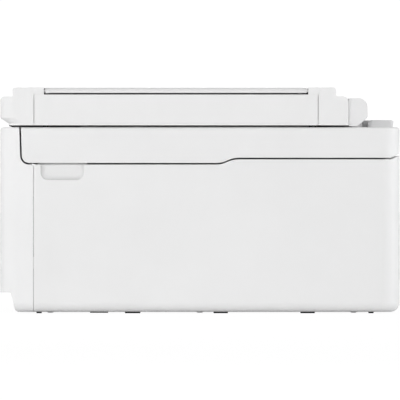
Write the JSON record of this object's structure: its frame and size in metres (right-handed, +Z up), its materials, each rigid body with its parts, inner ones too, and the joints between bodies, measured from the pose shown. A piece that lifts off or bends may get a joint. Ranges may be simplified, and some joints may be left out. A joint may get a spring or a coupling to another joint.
{
  "type": "inkjet printer",
  "caption": "Home all-in-one inkjet printer with a lifting scanner unit, a lid with a document feeder, a front paper tray and a rear access door.",
  "frame": {"origin": "middle of the footprint, on the surface that the feet stand on", "axes": "+X towards the printer's right side seen from its front, +Y from front to rear, +Z up"},
  "size_m": [0.434, 0.362, 0.2049],
  "materials": {
    "housing_white": "fine matte texture",
    "fascia_white": "fine matte texture",
    "hinge_white": "satin",
    "grey_plastic": "satin",
    "dark_plastic": "satin",
    "black_gloss": "gloss",
    "gear_white": "satin",
    "steel": "brushed",
    "rubber_black": "matte",
    "rubber_grey": "matte",
    "glass_clear": "polished",
    "foam_white": "matte film on foam",
    "ink_black": "satin",
    "ink_color": "satin",
    "latch_blue": "satin"
  },
  "bodies": {
    "chassis": {"base_chassis": "grey_plastic", "front_fascia": "fascia_white", "side_cover_right": "housing_white", "side_cover_left": "housing_white", "rear_cover": "housing_white", "rubber_feet": "rubber_black", "touch_display": "black_gloss", "output_tray": "dark_plastic", "engine_frame": "steel", "guide_rod": "steel", "carriage_belt": "rubber_black", "carriage_motor": "steel", "platen": "dark_plastic", "feed_motor": "steel", "turn_guide": "dark_plastic", "service_station": "grey_plastic", "power_supply": "dark_plastic", "power_inlet": "dark_plastic", "usb_port": "steel"},
    "scanner_unit": {"scanner_case": "housing_white", "scanner_top": "fascia_white", "scanner_glass": "glass_clear", "scan_rod": "steel", "rear_cable_cover": "hinge_white", "stay_arm": "dark_plastic", "lid_hinge_posts": "grey_plastic"},
    "lid": {"lid_shell": "housing_white", "feeder_tub": "housing_white", "lid_side_panels": "housing_white", "lid_base": "fascia_white", "document_backing": "foam_white", "lid_hinge_housings": "hinge_white"},
    "tray_cover": {"adf_tray_cover": "housing_white"},
    "feeder_cover": {"adf_feeder_cover": "housing_white"},
    "adf_guide_front": {"adf_guide_front": "grey_plastic"},
    "adf_guide_rear": {"adf_guide_rear": "grey_plastic"},
    "scan_head": {"scan_head": "dark_plastic"},
    "carriage": {"carriage": "dark_plastic", "cartridge_black": "ink_black", "cartridge_color": "ink_color"},
    "latch_black": {"latch_black": "latch_blue"},
    "latch_color": {"latch_color": "latch_blue"},
    "motor_pulley": {"motor_pulley": "gear_white"},
    "idler_pulley": {"idler_pulley": "gear_white"},
    "feed_roller": {"feed_roller": "gear_white"},
    "exit_roller": {"exit_roller": "dark_plastic"},
    "idler_gear": {"idler_gear": "gear_white"},
    "motor_pinion": {"motor_pinion": "steel"},
    "pick_arm": {"pick_arm": "dark_plastic"},
    "pick_roller": {"pick_roller": "rubber_grey"},
    "service_sled": {"service_sled": "grey_plastic"},
    "paper_tray": {"paper_tray": "grey_plastic", "tray_front": "fascia_white"},
    "width_guide_left": {"width_guide_left": "dark_plastic"},
    "width_guide_right": {"width_guide_right": "dark_plastic"},
    "length_guide": {"length_guide": "dark_plastic"},
    "output_extension": {"output_extension": "dark_plastic"},
    "output_stop": {"output_stop": "dark_plastic"},
    "rear_door": {"rear_door": "housing_white"},
    "power_button": {"power_button": "grey_plastic"}
  },
  "joints": [
    {"name": "scanner_lift", "type": "hinge", "parent": "chassis", "child": "scanner_unit", "pos_m": [0, 0.1765, 0.148], "axis": [-1, 0, 0], "range_deg": [0, 45]},
    {"name": "lid_hinge", "type": "hinge", "parent": "scanner_unit", "child": "lid", "pos_m": [0, 0.143, 0.181], "axis": [-1, 0, 0], "range_deg": [0, 85]},
    {"name": "tray_cover_hinge", "type": "hinge", "parent": "lid", "child": "tray_cover", "pos_m": [0.2116, 0, 0.2016], "axis": [0, 1, 0], "range_deg": [0, 160]},
    {"name": "feeder_cover_hinge", "type": "hinge", "parent": "lid", "child": "feeder_cover", "pos_m": [-0.2119, 0, 0.2017], "axis": [0, -1, 0], "range_deg": [0, 80]},
    {"name": "adf_front_guide_slide", "type": "slide", "parent": "lid", "child": "adf_guide_front", "axis": [0, 1, 0], "range_m": [0, 0.05]},
    {"name": "adf_rear_guide_slide", "type": "slide", "parent": "lid", "child": "adf_guide_rear", "axis": [0, -1, 0], "range_m": [0, 0.05]},
    {"name": "scan_head_slide", "type": "slide", "parent": "scanner_unit", "child": "scan_head", "axis": [1, 0, 0], "range_m": [0, 0.31]},
    {"name": "carriage_slide", "type": "slide", "parent": "chassis", "child": "carriage", "axis": [-1, 0, 0], "range_m": [0, 0.29]},
    {"name": "black_latch_hinge", "type": "hinge", "parent": "carriage", "child": "latch_black", "pos_m": [0.18725, 0.0172, 0.106], "axis": [1, 0, 0], "range_deg": [0, 20]},
    {"name": "color_latch_hinge", "type": "hinge", "parent": "carriage", "child": "latch_color", "pos_m": [0.15275, 0.0172, 0.106], "axis": [1, 0, 0], "range_deg": [0, 20]},
    {"name": "motor_pulley_spin", "type": "hinge", "parent": "chassis", "child": "motor_pulley", "pos_m": [-0.152, 0.1, 0.112], "axis": [0, -1, 0], "range_deg": [-10, 2500]},
    {"name": "idler_pulley_spin", "type": "hinge", "parent": "chassis", "child": "idler_pulley", "pos_m": [0.198, 0.1, 0.112], "axis": [0, -1, 0], "range_deg": [-10, 2500]},
    {"name": "feed_roller_spin", "type": "hinge", "parent": "chassis", "child": "feed_roller", "pos_m": [0, 0.076, 0.073], "axis": [1, 0, 0], "continuous": true},
    {"name": "exit_roller_spin", "type": "hinge", "parent": "chassis", "child": "exit_roller", "pos_m": [0, 0.01, 0.073], "axis": [1, 0, 0], "continuous": true},
    {"name": "idler_gear_spin", "type": "hinge", "parent": "chassis", "child": "idler_gear", "pos_m": [-0.1727, 0.043, 0.073], "axis": [1, 0, 0], "continuous": true},
    {"name": "motor_pinion_spin", "type": "hinge", "parent": "chassis", "child": "motor_pinion", "pos_m": [-0.1727, 0.09014, 0.05886], "axis": [1, 0, 0], "continuous": true},
    {"name": "pick_arm_hinge", "type": "hinge", "parent": "chassis", "child": "pick_arm", "pos_m": [0, 0.03, 0.058], "axis": [-1, 0, 0], "range_deg": [0, 23], "stiffness_Nm_per_rad": 0.02, "springref_deg": -68.75},
    {"name": "pick_roller_spin", "type": "hinge", "parent": "pick_arm", "child": "pick_roller", "pos_m": [0, 0.105, 0.048], "axis": [1, 0, 0], "continuous": true},
    {"name": "service_sled_slide", "type": "slide", "parent": "chassis", "child": "service_sled", "axis": [0, 0, -1], "range_m": [0, 0.006], "stiffness_N_per_m": 400, "springref_m": -0.006},
    {"name": "paper_tray_slide", "type": "slide", "parent": "chassis", "child": "paper_tray", "axis": [0, -1, 0], "range_m": [0, 0.25]},
    {"name": "right_guide_slide", "type": "slide", "parent": "paper_tray", "child": "width_guide_right", "axis": [-1, 0, 0], "range_m": [0, 0.045]},
    {"name": "left_guide_slide", "type": "slide", "parent": "paper_tray", "child": "width_guide_left", "axis": [1, 0, 0], "range_m": [0, 0.045]},
    {"name": "length_guide_slide", "type": "slide", "parent": "paper_tray", "child": "length_guide", "axis": [0, 1, 0], "range_m": [0, 0.1]},
    {"name": "output_extension_slide", "type": "slide", "parent": "chassis", "child": "output_extension", "axis": [0, -1, 0], "range_m": [0, 0.1]},
    {"name": "output_stop_hinge", "type": "hinge", "parent": "output_extension", "child": "output_stop", "pos_m": [0, -0.1725, 0.0522], "axis": [1, 0, 0], "range_deg": [0, 80]},
    {"name": "rear_door_hinge", "type": "hinge", "parent": "chassis", "child": "rear_door", "pos_m": [0, 0.177, 0.024], "axis": [-1, 0, 0], "range_deg": [0, 75]},
    {"name": "power_button_press", "type": "slide", "parent": "chassis", "child": "power_button", "axis": [0, 1, 0], "range_m": [0, 0.0012], "stiffness_N_per_m": 400, "springref_m": -0.001}
  ],
  "couplings": [
    {"joint": "adf_rear_guide_slide", "follows": "adf_front_guide_slide", "ratio": 1},
    {"joint": "left_guide_slide", "follows": "right_guide_slide", "ratio": 1},
    {"joint": "motor_pulley_spin", "follows": "carriage_slide", "rad_per_m": 148.15},
    {"joint": "idler_pulley_spin", "follows": "carriage_slide", "rad_per_m": 148.15},
    {"joint": "exit_roller_spin", "follows": "feed_roller_spin", "ratio": 1},
    {"joint": "idler_gear_spin", "follows": "feed_roller_spin", "ratio": -0.83333},
    {"joint": "motor_pinion_spin", "follows": "feed_roller_spin", "ratio": -3}
  ]
}
